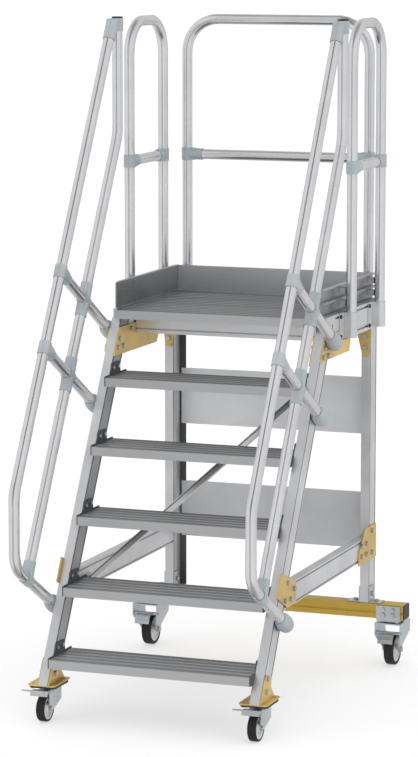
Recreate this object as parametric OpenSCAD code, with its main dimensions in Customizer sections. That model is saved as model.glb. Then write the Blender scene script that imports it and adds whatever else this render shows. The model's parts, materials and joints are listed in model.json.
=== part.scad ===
// Rolling warehouse ladder: aluminium stairs with a railed platform on four braked castors.
// X runs across the stairs, Y runs in the climbing direction, Z is up, floor at Z = 0.
// The origin is on the floor under the middle of the whole ladder.

/* [Stairs] */
// Rise from the floor to the first tread, and from tread to tread
rise = 240; // [235:1:245]
// Clear width between the two stringers
clear_w = 784; // [700:4:900]
// Depth of a tread from its nose to its rear edge
tread_d = 215; // [200:5:230]
// Height of a tread's front face
tread_h = 33; // [30:1:36]
// How far a tread's nose stands in front of the stringers
nose_out = 48.5; // [44:0.5:54]

/* [Profiles] */
// Width of the stringer, leg and brace profile
beam_w = 34; // [30:1:40]
// Depth of the stringer, leg and brace profile
beam_d = 86; // [80:1:90]
// Height of the platform's beams
deck_beam_h = 107; // [104:1:110]
// Thickness of the zinc plated steel plates
plate_t = 5; // [4:0.5:6]

/* [Platform] */
// Depth of the platform from its nose to its rear face
deck_d = 685; // [665:5:705]
// Height of the toe boards
toe_h = 103; // [90:1:115]

/* [Rails] */
// Outside diameter of every rail tube
tube_d = 40; // [38:0.5:41]
// Height of the guardrail's top over the platform
guard_h = 1095; // [1000:5:1150]
// Height of the middle bars over the platform
mid_bar_h = 543; // [480:1:600]
// Distance of the handrail's axis from the stringer's front face
hand_off = 495; // [480:1:510]
// Distance of the knee rail's axis from the stringer's front face
knee_off = 240; // [230:1:255]

/* [Undercarriage] */
// Length of the rear traverse without its end caps
traverse_l = 1140; // [1120:10:1200]
// Diameter of the front wheels
front_wheel_d = 100; // [98:1:102]
// Diameter of the rear wheels
rear_wheel_d = 125; // [122:1:127]

/* [Hidden] */
$fn = 48;

// clearances
gap = 0.2;
fit = 0.1;
run = 0.05;
cut = 1;

// stairs
slope = 60;
going = rise / tan(slope);
tread_count = 5;
deck_z = (tread_count + 1) * rise;
deck_nose = tread_count * going;
side_x = clear_w / 2;
outer_x = side_x + beam_w;
mid_x = side_x + beam_w / 2;
wall = 5.5;
groove_w = 7;
groove_d = 3.5;
groove_in = 5;
end_plate_t = 5;
upstand = 46;

// platform
deck_back = deck_nose + deck_d;
beam_bottom = deck_z - deck_beam_h;
slot_low = beam_bottom + 17;
slot_high = deck_z - 14;
slot_w = 8;
slot_d = 6;
side_beam_front = deck_nose + 42;
cross_beam_y = deck_nose + 175;
plank_under = deck_z - tread_h;
nosing_half = side_x + 8;
toe_x = side_x + 8;
toe_t = 18;
toe_web = 4;
toe_rear = deck_back - 10;

// tubes and posts
tube_r = tube_d / 2;
tube_wall = 2.5;
sleeve_t = 3;
collar_r = tube_r + 3;
cast_arm = 66;
cast_half = 24;
post_x = outer_x + sleeve_t + tube_r;
post_y = [deck_nose + 271, deck_nose + 628];
rear_post_x = 377;
rear_post_y = deck_back + sleeve_t + tube_r;
post_foot = beam_bottom + 12;
sleeve_foot = beam_bottom + 8;
sleeve_h = deck_z - 2 - sleeve_foot;
sleeve_front = 78;
sleeve_bolt_y = 68;
guard_axis_z = deck_z + guard_h - tube_r;
mid_bar_z = deck_z + mid_bar_h;
bend_r = 130;
foot_bend_r = 100;
bend_swell = 0.4;
lap = 2;

// handrails: places along the slope, n is normal to the stringer and a runs along it
strut_a = [215, 1012, 1315];
rail_foot_y = -158;
rail_top_a = 2340;
tube_start = tube_r + 3;
knee_top_y = deck_nose + 150;
elbow_z = [guard_axis_z - 30, guard_axis_z + 18];
elbow_a = 2272;

// legs and undercarriage
leg_y = deck_back - 103;
traverse_top = 250;
traverse_h = 56;
traverse_y = leg_y - 5;
traverse_dp = 70;
traverse_bottom = traverse_top - traverse_h;
brace_z = 434;
brace_top = brace_z + beam_d;
front_plate_z = 138;
castor_shift = -11;
front_swivel_y = 78;
rear_swivel = [510, leg_y + 33];
front_trail = -38;
rear_trail = 25;
spacer_z = [128.3, 137.9];
rear_flange_z = traverse_bottom - gap - plate_t;

// the middle of the ladder's footprint, between handrail and rear guardrail
centre_y = (rail_foot_y - tube_r + rear_post_y + collar_r) / 2;

// bolts through plates and beams, as [y, z]
bolt_r = 5;
hole_r = 5.3;
through_holes = [[front_at(1331) + 24, 1331], [front_at(1357) + 125, 1355], [front_at(1300) + 25, 1300],
    [front_at(1300) + 78, 1300], [front_at(178) + 48, 178], [leg_y + 30, 284]];
outer_holes = [[front_at(528) + 76, 528], [front_at(468) + 80, 468], [360, 494], [322, 463],
    [leg_y - 105, 456], [leg_y - 105, 498], [leg_y - 45, 456], [leg_y - 45, 498], [leg_y + 28, 450],
    [leg_y + 28, 535], [front_at(222) + 36, 222]];
tread_holes = [for (k = [1 : tread_count]) for (y = [35, 85])
    [(k - 1) * going + nose_out + y, k * rise + upstand - 18]];
leg_top_holes = [beam_bottom - 28, beam_bottom - 72];

// horizontal place of the stringer's front and rear face at height z
function front_at(z) = nose_out + (z - rise) / tan(slope);
function rear_at(z) = front_at(z) + beam_d / sin(slope);
// a place on the slope as [y, z]
function on_slope_y(n, a) = nose_out + a * cos(slope) + n * sin(slope);
function on_slope_z(n, a) = rise + a * sin(slope) - n * cos(slope);
function slope_point(n, a) = [on_slope_y(n, a), on_slope_z(n, a)];
// the distance along the slope at which a line parallel to the stringer passes y
function along_at(n, y) = (y - nose_out - n * sin(slope)) / cos(slope);

// ---------- helpers ----------

module placed() { translate([0, -centre_y, 0]) children(); }

module both_sides() {
    for (side = [0, 1]) mirror([side, 0, 0]) children();
}

// local y is normal to the stringer, local z runs up along it
module on_slope() {
    translate([0, nose_out, rise]) rotate([slope - 90, 0, 0]) children();
}

// a (y, z) outline, extruded from x0 to x1
module yz_plate(x0, x1) {
    translate([x0, 0, 0]) rotate([90, 0, 90]) linear_extrude(x1 - x0) children();
}

// an (x, z) outline, extruded from y0 to y1
module xz_plate(y0, y1) {
    translate([0, y1, 0]) rotate([90, 0, 0]) linear_extrude(y1 - y0) children();
}

module x_rod(r, x0, x1) {
    translate([x0, 0, 0]) rotate([0, 90, 0]) cylinder(r = r, h = x1 - x0);
}

module y_rod(r, y0, y1) {
    translate([0, y0, 0]) rotate([-90, 0, 0]) cylinder(r = r, h = y1 - y0);
}

module drills(holes, x0, x1, r = hole_r) {
    for (hole = holes) translate([0, hole[0], hole[1]]) x_rod(r, x0, x1);
}

module frame_drills() {
    drills(through_holes, side_x - plate_t - cut, outer_x + plate_t + cut);
    drills(outer_holes, outer_x - wall - cut, outer_x + plate_t + cut);
}

module hollow_tube(length) {
    difference() {
        cylinder(r = tube_r, h = length);
        translate([0, 0, -cut]) cylinder(r = tube_r - tube_wall, h = length + 2 * cut);
    }
}

// straight tube from p to q, both as [y, z], in the plane x = 0; laps run on into a bend
module tube_run(p, q, lap_p = 0, lap_q = 0) {
    tilt = atan2(q[0] - p[0], q[1] - p[1]);
    translate([0, p[0], p[1]]) rotate([-tilt, 0, 0]) translate([0, 0, -lap_p])
        hollow_tube(norm(q - p) + lap_p + lap_q);
}

// a bent tube in the (y, z) plane about the centre c, from angle a0 through sweep
module tube_bend(c, radius, a0, sweep) {
    translate([0, c[0], c[1]]) rotate([90, 0, 90]) rotate([0, 0, a0])
        rotate_extrude(angle = sweep, $fn = 96) translate([radius, 0]) difference() {
            circle(r = tube_r + bend_swell, $fn = 48);
            circle(r = tube_r - tube_wall - bend_swell, $fn = 48);
        }
}

// bolt with washer and head above z = 0 and its nut under the gripped parts
module hex_bolt(grip) {
    translate([0, 0, -grip - 7]) cylinder(r = bolt_r, h = grip + 8);
    cylinder(r = 9.5, h = 1.5);
    translate([0, 0, 1.5]) cylinder(r = 9, h = 6, $fn = 6);
    translate([0, 0, -grip - 6.5]) cylinder(r = 9, h = 6, $fn = 6);
}

// ---------- stairs ----------

module beam_section() {
    difference() {
        square([beam_w, beam_d]);
        translate([wall, wall]) square([beam_w - 2 * wall, beam_d - 2 * wall]);
        for (y = [groove_in, beam_d - groove_in - groove_w])
            for (x = [-cut, beam_w - groove_d])
                translate([x, y]) square([groove_d + cut, groove_w]);
    }
}

module stringer() {
    foot = front_plate_z + plate_t + gap;
    difference() {
        intersection() {
            on_slope() translate([side_x, 0, -200]) linear_extrude(1800) beam_section();
            translate([side_x - cut, -200, foot])
                cube([beam_w + 2 * cut, 1300, plank_under - gap - foot]);
        }
        frame_drills();
        drills(tread_holes, side_x - cut, side_x + wall + cut, 4.2);
    }
}

module stringer_left() { color("silver") placed() mirror([1, 0, 0]) stringer(); }
module stringer_right() { color("silver") placed() stringer(); }

// upper outline of a ribbed plank: wide bands of fine ridges with a deep groove between them
function ridge_points(depth, bands) = [for (b = [0 : bands - 1]) for (k = [0 : 4])
    let (pitch = depth / bands, ridge = (pitch - 7) / 5, y = b * pitch + 3.5 + k * ridge)
    each [[y, k == 0 ? -3 : -1.4], [y + 0.25 * ridge, 0], [y + 0.75 * ridge, 0],
        [y + ridge, k == 4 ? -3 : -1.4]]];

module plank_section(depth, bands) {
    skin = 4.5;
    top_skin = 7;
    cell_w = (depth - skin) / 3;
    difference() {
        polygon(concat([[0, -tread_h], [0, -1.5], [1.5, 0], [3, 0]], ridge_points(depth, bands),
            [[depth - 3, 0], [depth, -1.5], [depth, -tread_h]]));
        for (cell = [0 : 2])
            translate([skin + cell * cell_w, -tread_h + 3]) square([cell_w - skin, tread_h - 3 - top_skin]);
    }
}

module tread(number) {
    half = side_x - end_plate_t - gap;
    color("slategray") placed() translate([0, (number - 1) * going, number * rise])
        yz_plate(-half, half) plank_section(tread_d, 5);
}

module tread_1() { tread(1); }
module tread_2() { tread(2); }
module tread_3() { tread(3); }
module tread_4() { tread(4); }
module tread_5() { tread(5); }

module tread_end_plates() {
    rim = 5;
    ear = [nose_out + 20, nose_out + 102];
    color("dimgray") placed() both_sides() difference() {
        for (number = [1 : tread_count])
            translate([0, (number - 1) * going, number * rise])
                yz_plate(side_x - end_plate_t, side_x - gap)
                    polygon([[2, -tread_h], [2, 1], [6, rim], [ear[0] - 12, rim],
                        [ear[0], upstand - 4], [ear[0] + 4, upstand], [ear[1] - 4, upstand],
                        [ear[1], upstand - 4], [ear[1] + 4, rim], [tread_d, rim],
                        [tread_d, -tread_h]]);
        drills(tread_holes, side_x - end_plate_t - cut, side_x + cut, 4.2);
    }
}

// ---------- platform ----------

module deck_planks() {
    seams = [deck_nose, deck_nose + 267, deck_nose + 457, deck_back - beam_w - gap];
    joint = 2;
    inner = side_x - gap;
    color("slategray") placed() {
        intersection() {
            translate([0, seams[0], deck_z]) yz_plate(-nosing_half, nosing_half)
                plank_section(seams[1] - seams[0] - joint, 6);
            union() {
                translate([-nosing_half, seams[0] - cut, plank_under - cut])
                    cube([2 * nosing_half, side_beam_front - gap - seams[0] + cut, tread_h + 2 * cut]);
                translate([-inner, seams[0], plank_under - cut])
                    cube([2 * inner, seams[1] - seams[0], tread_h + 2 * cut]);
            }
        }
        for (k = [1, 2])
            translate([0, seams[k], deck_z]) yz_plate(-inner, inner)
                plank_section(seams[k + 1] - seams[k] - joint, 4);
    }
}

module platform_side_beams() {
    z0 = beam_bottom;
    core_y = rear_at(deck_z) + 30;
    color("silver") placed() both_sides() difference() {
        yz_plate(side_x, outer_x)
            polygon([[side_beam_front, plank_under + gap], [side_beam_front, deck_z], [deck_back, deck_z],
                [deck_back, z0], [rear_at(z0) + gap, z0], [rear_at(plank_under) + gap, plank_under + gap]]);
        for (z = [slot_low, slot_high])
            translate([outer_x - slot_d, rear_at(deck_z), z - slot_w / 2])
                cube([slot_d + cut, deck_back, slot_w]);
        translate([side_x + wall, core_y, z0 + 24])
            cube([beam_w - wall - slot_d - 4, deck_back, deck_beam_h - 50]);
        frame_drills();
    }
}

module cross_beam(half, top) {
    difference() {
        translate([-half, 0, beam_bottom]) cube([2 * half, beam_w, top - beam_bottom]);
        translate([-half - cut, 10, beam_bottom + 8])
            cube([2 * half + 2 * cut, beam_w - 20, top - beam_bottom - 16]);
    }
}

module platform_cross_beams() {
    front_half = side_x - plate_t - 2 * gap;
    color("silver") placed() {
        difference() {
            translate([0, cross_beam_y, 0]) cross_beam(front_half, plank_under - gap);
            translate([-side_x, cross_beam_y - cut, slot_low - 3]) cube([2 * side_x, 4 + cut, 5]);
        }
        difference() {
            translate([0, deck_back - beam_w, 0]) cross_beam(side_x - gap, deck_z);
            for (z = [slot_low, slot_high])
                translate([-side_x - cut, deck_back - slot_d, z - slot_w / 2])
                    cube([2 * side_x + 2 * cut, slot_d + cut, slot_w]);
        }
    }
}

module rear_legs() {
    color("silver") placed() both_sides() difference() {
        translate([side_x, leg_y, traverse_top + gap])
            linear_extrude(beam_bottom - traverse_top - 2 * gap) beam_section();
        frame_drills();
        for (z = leg_top_holes) translate([mid_x, 0, z]) y_rod(hole_r, leg_y - cut, leg_y + wall + cut);
    }
}

// outline of a toe board: flat inside, two channels outside, a small ledge at its foot
module toe_section() {
    ledge = 4;
    polygon([[0, 0], [toe_t, 0], [toe_t, 5], [toe_web, 5], [toe_web, 46], [toe_t, 46], [toe_t, 56],
        [toe_web, 56], [toe_web, toe_h - 5], [toe_t, toe_h - 5], [toe_t, toe_h], [0, toe_h], [0, 8],
        [-ledge, 6], [-ledge, 0]]);
}

module toe_boards() {
    front = deck_nose + 49;
    web_front = deck_nose + 6;
    rear_half = toe_x - 4 - gap;
    color("lightgray") placed() {
        both_sides() translate([toe_x, 0, deck_z + gap]) {
            xz_plate(front, toe_rear) toe_section();
            xz_plate(web_front, front + cut)
                polygon([[0, 0], [toe_web, 0], [toe_web, toe_h], [0, toe_h], [0, 8], [-4, 6], [-4, 0]]);
        }
        translate([-rear_half, toe_rear - toe_t, deck_z + gap])
            rotate([90, 0, 90]) linear_extrude(2 * rear_half) toe_section();
    }
}

module toe_board_spacers() {
    block = [24, 22];
    side_from = toe_x + toe_web + gap;
    rear_from = toe_rear - toe_t + toe_web + gap;
    color("gainsboro") placed() for (z = [deck_z + 20, deck_z + 68]) {
        both_sides() for (y = post_y)
            translate([side_from, y - block[0] / 2, z])
                cube([post_x - tube_r - gap - side_from, block[0], block[1]]);
        both_sides() translate([rear_post_x - block[0] / 2, rear_from, z])
            cube([block[0], rear_post_y - tube_r - gap - rear_from, block[1]]);
    }
}

// ---------- guardrails ----------

// an inverted U of tube with its posts at y0 and y1, standing in the plane x = 0
module tube_hoop(y0, y1) {
    shoulder = guard_axis_z - bend_r;
    for (y = [y0, y1]) tube_run([y, post_foot], [y, shoulder], 0, lap);
    tube_bend([y0 + bend_r, shoulder], bend_r, 90, 90);
    tube_bend([y1 - bend_r, shoulder], bend_r, 0, 90);
    tube_run([y0 + bend_r, guard_axis_z], [y1 - bend_r, guard_axis_z], lap, lap);
}

module guardrail_left() {
    color("silver") placed() translate([-post_x, 0, 0]) tube_hoop(post_y[0], post_y[1]);
}

module guardrail_right() {
    color("silver") placed() translate([post_x, 0, 0]) tube_hoop(post_y[0], post_y[1]);
}

module guardrail_rear() {
    color("silver") placed() translate([0, rear_post_y, 0])
        rotate([0, 0, -90]) tube_hoop(-rear_post_x, rear_post_x);
}

module guardrail_mid_bars() {
    color("silver") placed() {
        both_sides() translate([post_x, 0, 0])
            tube_run([post_y[0] + tube_start, mid_bar_z], [post_y[1] - tube_start, mid_bar_z]);
        translate([0, rear_post_y, 0]) rotate([0, 0, -90])
            tube_run([-rear_post_x + tube_start, mid_bar_z], [rear_post_x - tube_start, mid_bar_z]);
    }
}

// a cast tube connector: its sleeve on the z axis, its tapering arms at the given turns from +y
module cast_fitting(turns) {
    web_half = 15;
    arm_r = collar_r - 0.5;
    difference() {
        union() {
            translate([0, 0, -cast_half]) cylinder(r = collar_r, h = 2 * cast_half);
            for (turn = turns) rotate([0, 0, turn]) {
                y_rod(arm_r, 0, cast_arm);
                yz_plate(-web_half, web_half)
                    polygon([[0, -cast_half], [collar_r, -cast_half], [cast_arm - 6, -arm_r + 3],
                        [cast_arm - 6, arm_r - 3], [collar_r, cast_half], [0, cast_half]]);
            }
        }
        translate([0, 0, -cast_half - cut]) cylinder(r = tube_r + fit, h = 2 * cast_half + 2 * cut);
        for (turn = turns) rotate([0, 0, turn]) y_rod(tube_r + fit, tube_r / 2, cast_arm + cut);
    }
}

module guardrail_connectors() {
    color("lightsteelblue") placed() {
        both_sides() translate([post_x, 0, mid_bar_z]) {
            translate([0, post_y[0], 0]) cast_fitting([0]);
            translate([0, post_y[1], 0]) cast_fitting([180]);
        }
        both_sides() translate([rear_post_x, rear_post_y, mid_bar_z]) cast_fitting([90]);
    }
}

// the extruded holder of one post: base plate on the plane y = 0, tube along z
module post_sleeve(reach) {
    axis = sleeve_t + tube_r;
    difference() {
        union() {
            translate([-sleeve_front, gap, sleeve_foot])
                cube([sleeve_front + reach, sleeve_t - gap, sleeve_h]);
            translate([0, axis, sleeve_foot]) cylinder(r = tube_r + sleeve_t, h = sleeve_h);
            translate([-tube_r - sleeve_t, gap, sleeve_foot])
                cube([2 * (tube_r + sleeve_t), axis - gap, sleeve_h]);
        }
        translate([0, axis, sleeve_foot - cut]) cylinder(r = tube_r + run, h = sleeve_h + 2 * cut);
        translate([-tube_r - 2 * sleeve_t, gap - 2 * sleeve_t, sleeve_foot - cut])
            cube([2 * (tube_r + 2 * sleeve_t), 2 * sleeve_t, sleeve_h + 2 * cut]);
        for (z = [slot_low, slot_high]) translate([-sleeve_bolt_y, 0, z]) y_rod(4.2, -cut, 2 * sleeve_t);
    }
}

// puts a post holder's parts on all six posts
module at_posts() {
    both_sides() for (y = post_y)
        translate([outer_x, y, 0]) rotate([0, 0, -90]) mirror([1, 0, 0]) children(0);
    both_sides() translate([rear_post_x, deck_back, 0]) children(1);
}

module post_sleeves() {
    color("gainsboro") placed() at_posts() {
        post_sleeve(50);
        post_sleeve(14);
    }
}

module sleeve_bolt_pair() {
    for (z = [slot_low, slot_high]) translate([-sleeve_bolt_y, 0, z]) {
        y_rod(3.8, -slot_d + 0.5, sleeve_t + cut);
        y_rod(7.5, sleeve_t + gap, sleeve_t + 5);
    }
}

module sleeve_bolts() {
    color("black") placed() at_posts() {
        sleeve_bolt_pair();
        sleeve_bolt_pair();
    }
}

// ---------- handrails ----------

module handrail() {
    bend_z = on_slope_z(-hand_off, along_at(-hand_off, rail_foot_y));
    foot_n = (rail_foot_y - nose_out - strut_a[0] * cos(slope)) / sin(slope);
    foot_z = on_slope_z(foot_n, strut_a[0]);
    upper_t = bend_r * tan(15);
    foot_t = foot_bend_r * tan(30);
    upper_c = [rail_foot_y + bend_r, bend_z - upper_t];
    foot_c = [rail_foot_y + foot_bend_r, foot_z + foot_t];
    tube_run(upper_c + bend_r * [cos(150), sin(150)], slope_point(-hand_off, rail_top_a), lap, 0);
    tube_bend(upper_c, bend_r, 150, 30);
    tube_run([rail_foot_y, foot_c[1]], [rail_foot_y, upper_c[1]], lap, lap);
    tube_bend(foot_c, foot_bend_r, 180, 60);
    tube_run(foot_c + foot_bend_r * [cos(240), sin(240)], slope_point(-2, strut_a[0]), lap, 0);
}

module handrails() {
    color("silver") placed() both_sides() translate([post_x, 0, 0]) handrail();
}

module knee_rail() {
    bend_t = bend_r * tan(15);
    corner_z = on_slope_z(-knee_off, along_at(-knee_off, knee_top_y));
    centre = [knee_top_y - bend_r, corner_z + bend_t];
    for (k = [0, 1])
        tube_run(slope_point(-knee_off, strut_a[k] + tube_start),
            slope_point(-knee_off, strut_a[k + 1] - tube_start));
    tube_run(slope_point(-knee_off, strut_a[2] + tube_start), centre + bend_r * [cos(30), -sin(30)],
        0, lap);
    tube_bend(centre, bend_r, -30, 30);
    tube_run([knee_top_y, centre[1]], [knee_top_y, elbow_z[1] - cut], lap, 0);
}

module knee_rails() {
    color("silver") placed() both_sides() translate([post_x, 0, 0]) knee_rail();
}

module handrail_struts() {
    color("silver") placed() both_sides() translate([post_x, 0, 0])
        for (a = [strut_a[1], strut_a[2]])
            tube_run(slope_point(-hand_off + tube_start, a), slope_point(-2, a));
}

// cast elbow that joins the handrail's upper end to the upright end of the knee rail
module elbow() {
    web_half = 14;
    blind = rail_top_a + gap;
    difference() {
        union() {
            translate([0, knee_top_y, elbow_z[0]]) cylinder(r = collar_r, h = elbow_z[1] - elbow_z[0]);
            intersection() {
                on_slope() translate([0, -hand_off, elbow_a]) cylinder(r = collar_r, h = 150);
                translate([-tube_d, 0, 0]) cube([2 * tube_d, knee_top_y, elbow_z[1] - gap]);
            }
            yz_plate(-web_half, web_half)
                polygon([slope_point(-hand_off, elbow_a + 12), slope_point(-hand_off, rail_top_a),
                    [knee_top_y, elbow_z[1] - 2 * cut], [knee_top_y, elbow_z[0] + 8]]);
        }
        translate([0, knee_top_y, elbow_z[0] - cut])
            cylinder(r = tube_r + fit, h = elbow_z[1] - elbow_z[0] + 2 * cut);
        on_slope() translate([0, -hand_off, elbow_a - cut])
            cylinder(r = tube_r + fit, h = blind - elbow_a + cut);
    }
}

module handrail_connectors() {
    color("lightsteelblue") placed() both_sides() translate([post_x, 0, 0]) {
        elbow();
        on_slope() {
            for (a = [strut_a[1], strut_a[2]]) {
                translate([0, -hand_off, a]) cast_fitting([0]);
                translate([0, -knee_off, a]) rotate([90, 0, 0]) cast_fitting([0, 180]);
            }
            translate([0, -knee_off, strut_a[0]]) rotate([90, 0, 0]) cast_fitting([0]);
        }
    }
}

// bulb shaped cast feet on the stringer's side; the struts end in their sockets
module handrail_feet() {
    start = -8;
    foot_r = tube_r - tube_wall - 2 * fit;
    bulb = [[0, 0], [22.5, 0], [23, 6], [27, 20], [31, 34], [32, 60], [29, 84], [22, 98], [0, 104]];
    plate_face = outer_x + plate_t + 2 * gap;
    plates = [1284, 1375];
    color("lightsteelblue") placed() both_sides() difference() {
        on_slope() for (a = strut_a) {
            difference() {
                translate([post_x, start, a]) rotate([-90, 0, 0]) rotate_extrude() polygon(bulb);
                translate([post_x, 0, a]) y_rod(tube_r + fit, start - cut, -1.5);
            }
            translate([post_x, 0, a]) y_rod(foot_r, start - 22, 0);
        }
        translate([outer_x - 50, -200, 0]) cube([50 + gap, 1400, deck_z]);
        translate([outer_x - 50, -200, plates[0]])
            cube([50 + plate_face - outer_x, 1400, plates[1] - plates[0]]);
    }
}

module end_caps() {
    cap_t = 5;
    plug_r = tube_r - tube_wall - 2 * fit;
    color("dimgray") placed() both_sides() {
        translate([post_x, knee_top_y, elbow_z[1] + gap]) {
            rotate_extrude()
                polygon([[0, 0], [collar_r - 2, 0], [collar_r - 2, 4], [collar_r - 4, 6], [0, 6]]);
            translate([0, 0, -12]) cylinder(r = plug_r, h = 13);
        }
        translate([traverse_l / 2 + gap, traverse_y, traverse_bottom])
            cube([cap_t - gap, traverse_dp, traverse_h]);
    }
}

// ---------- gussets and braces ----------

// the same outline as a plate on the inner and on the outer face of the beams
module inner_plate() { yz_plate(side_x - gap - plate_t, side_x - gap) children(); }
module outer_plate() { yz_plate(outer_x + gap, outer_x + gap + plate_t) children(); }

module stringer_gussets() {
    inner_low = 1270;
    outer_low = 1285;
    top = 1374;
    rear_top = 1332;
    step_y = post_y[0] - sleeve_front - 6;
    step_z = sleeve_foot - 1;
    color("goldenrod") placed() both_sides() difference() {
        union() {
            inner_plate()
                polygon([[front_at(inner_low) + 1, inner_low], [front_at(top) + 1, top], [1010, top],
                    [1107, 1300], [1086, inner_low]]);
            outer_plate()
                polygon([[front_at(outer_low) + 1, outer_low], [front_at(top) + 1, top], [step_y, top],
                    [step_y, step_z], [1012, rear_top], [1000, outer_low]]);
        }
        frame_drills();
    }
}

module side_brace_gussets() {
    front = [[front_at(577) - 22, 577], [381, 518], [382, 443], [292, 436], [front_at(493) - 19, 493]];
    rear = [[leg_y - 137, 424], [leg_y - 137, 470], [leg_y - 60, 556], [leg_y + 83, 556], [leg_y + 83, 424]];
    color("goldenrod") placed() both_sides() difference() {
        outer_plate() {
            polygon(front);
            polygon(rear);
        }
        frame_drills();
    }
}

module leg_top_brackets() {
    top = beam_bottom - gap;
    half = beam_w / 2;
    color("goldenrod") placed() both_sides() difference() {
        xz_plate(leg_y - gap - plate_t, leg_y - gap)
            polygon([[mid_x - half - 16, top], [outer_x + 6, top], [outer_x + 6, top - 20],
                [mid_x + 12, 1228], [mid_x - 12, 1228], [mid_x - half - 16, top - 20]]);
        for (z = leg_top_holes) translate([mid_x, 0, z]) y_rod(hole_r, leg_y - plate_t - cut, leg_y);
    }
}

module side_braces() {
    color("silver") placed() both_sides() difference() {
        yz_plate(side_x, outer_x)
            polygon([[rear_at(brace_z) + gap, brace_z], [rear_at(brace_top) + gap, brace_top],
                [leg_y - gap, brace_top], [leg_y - gap, brace_z]]);
        translate([side_x + wall, 0, brace_z + wall]) cube([beam_w - 2 * wall, deck_back, beam_d - 2 * wall]);
        for (x = [side_x - cut, outer_x - groove_d])
            for (z = [brace_z + groove_in, brace_top - groove_in - groove_w])
                translate([x, 0, z]) cube([groove_d + cut, deck_back, groove_w]);
        frame_drills();
    }
}

// thin bar behind the treads, with a tab on the left side brace and one on the right gusset
module diagonal_brace() {
    n0 = 162;
    depth = 12;
    half = side_x - plate_t - 3;
    a_low = 350;
    a_high = 1218;
    half_w = 18.5;
    low = slope_point(n0, a_low);
    high = slope_point(n0, a_high);
    tab_y = tread_d + going + 3;
    color("silver") placed() {
        on_slope() difference() {
            xz_plate(n0, n0 + depth)
                polygon([[-half, a_low - half_w], [half, a_high - half_w], [half, a_high + half_w],
                    [-half, a_low + half_w]]);
            xz_plate(n0 - cut, n0 + 4)
                polygon([[-half - cut, a_low + 5], [half + cut, a_high + 5], [half + cut, a_high + 12],
                    [-half - cut, a_low + 12]]);
        }
        yz_plate(-side_x + gap, -half + 4)
            polygon([[tab_y, low[1] - 14], [low[0] + 36, low[1] - 14], [low[0] + 36, low[1] + 24],
                [tab_y, low[1] + 24]]);
        yz_plate(half - 4, half + 2)
            polygon([high + [-2, -12], high + [24, -20], high + [52, 92], high + [12, 92]]);
    }
}

module rear_panels() {
    half = side_x - 6;
    fold_half = side_x - 28;
    sheet_t = 2.6;
    height = 223;
    color("lightgray") placed() for (z = [452, 908]) {
        translate([-half, leg_y + 80, z]) cube([2 * half, sheet_t, height]);
        for (edge = [z, z + height - 2])
            translate([-fold_half, leg_y + 80, edge]) cube([2 * fold_half, 14, 2]);
    }
}

module panel_rails() {
    rail_w = 24;
    color("dimgray") placed() both_sides()
        translate([side_x - rail_w, leg_y + 80 + 2.8, traverse_top + gap])
            cube([rail_w - gap, 3.2, beam_bottom - traverse_top - 2 * gap]);
}

// ---------- undercarriage ----------

traverse_wall = 5;
foot_bolt_x = 43;
castor_bolts = [for (x = [-19, 19]) for (z = [209, 230]) [x, z]];
foot_len = 50;
screw_r = 4;
screw_hole_r = 4.3;

module traverse() {
    half = traverse_l / 2;
    color("darkkhaki") placed() difference() {
        translate([-half, traverse_y, traverse_bottom]) cube([traverse_l, traverse_dp, traverse_h]);
        translate([-half - cut, traverse_y + traverse_wall, traverse_bottom + traverse_wall])
            cube([traverse_l + 2 * cut, traverse_dp - 2 * traverse_wall, traverse_h - 2 * traverse_wall]);
        translate([-half - cut, traverse_y - cut, traverse_bottom + 21])
            cube([traverse_l + 2 * cut, 3 + cut, slot_w]);
        both_sides() {
            at_foot_holes() translate([0, 0, traverse_top - 6]) cylinder(r = hole_r, h = 7);
            for (hole = castor_bolts)
                translate([rear_swivel[0] + hole[0], 0, hole[1]])
                    y_rod(hole_r, traverse_y - cut, traverse_y + traverse_wall + cut);
        }
    }
}

module traverse_brackets() {
    y0 = traverse_y + 8;
    foot_w = 54;
    flange_dp = 88;
    color("lightgray") placed() both_sides() {
        difference() {
            for (face = [0, 1])
                translate([mid_x, y0, traverse_top + gap]) mirror([face, 0, 0]) {
                    translate([beam_w / 2 + gap, 0, 0]) cube([plate_t, foot_w, 64]);
                    translate([beam_w / 2 + gap, 0, 0]) cube([foot_len, foot_w, plate_t]);
                }
            at_foot_holes() translate([0, 0, traverse_top]) cylinder(r = hole_r, h = 7);
            frame_drills();
        }
        difference() {
            translate([rear_swivel[0] - 49, traverse_y - gap - plate_t, rear_flange_z]) {
                cube([98, plate_t, traverse_top - 4 - rear_flange_z]);
                cube([98, flange_dp, plate_t]);
            }
            for (hole = castor_bolts)
                translate([rear_swivel[0] + hole[0], 0, hole[1]])
                    y_rod(hole_r, traverse_y - 7, traverse_y);
            at_rear_plate_holes() translate([0, 0, rear_flange_z - cut])
                cylinder(r = screw_hole_r, h = plate_t + 2 * cut);
        }
    }
}

module at_foot_holes() {
    for (x = [-foot_bolt_x, foot_bolt_x]) translate([mid_x + x, traverse_y + traverse_dp / 2, 0]) children();
}

module at_rear_plate_holes() {
    for (x = [-34, 34]) for (y = [-34, 34])
        translate([rear_swivel[0] + x, rear_swivel[1] + y, 0]) children();
}

// the front castors and their plates stand off the stringers' middle to the same side
module at_front_pair() {
    for (side = [-1, 1]) translate([side * mid_x + castor_shift, front_swivel_y, 0]) children();
}

module at_front_plate_holes() {
    at_front_pair() for (x = [-42, 42]) for (y = [-52, 52]) translate([x, y, 0]) children();
}

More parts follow.
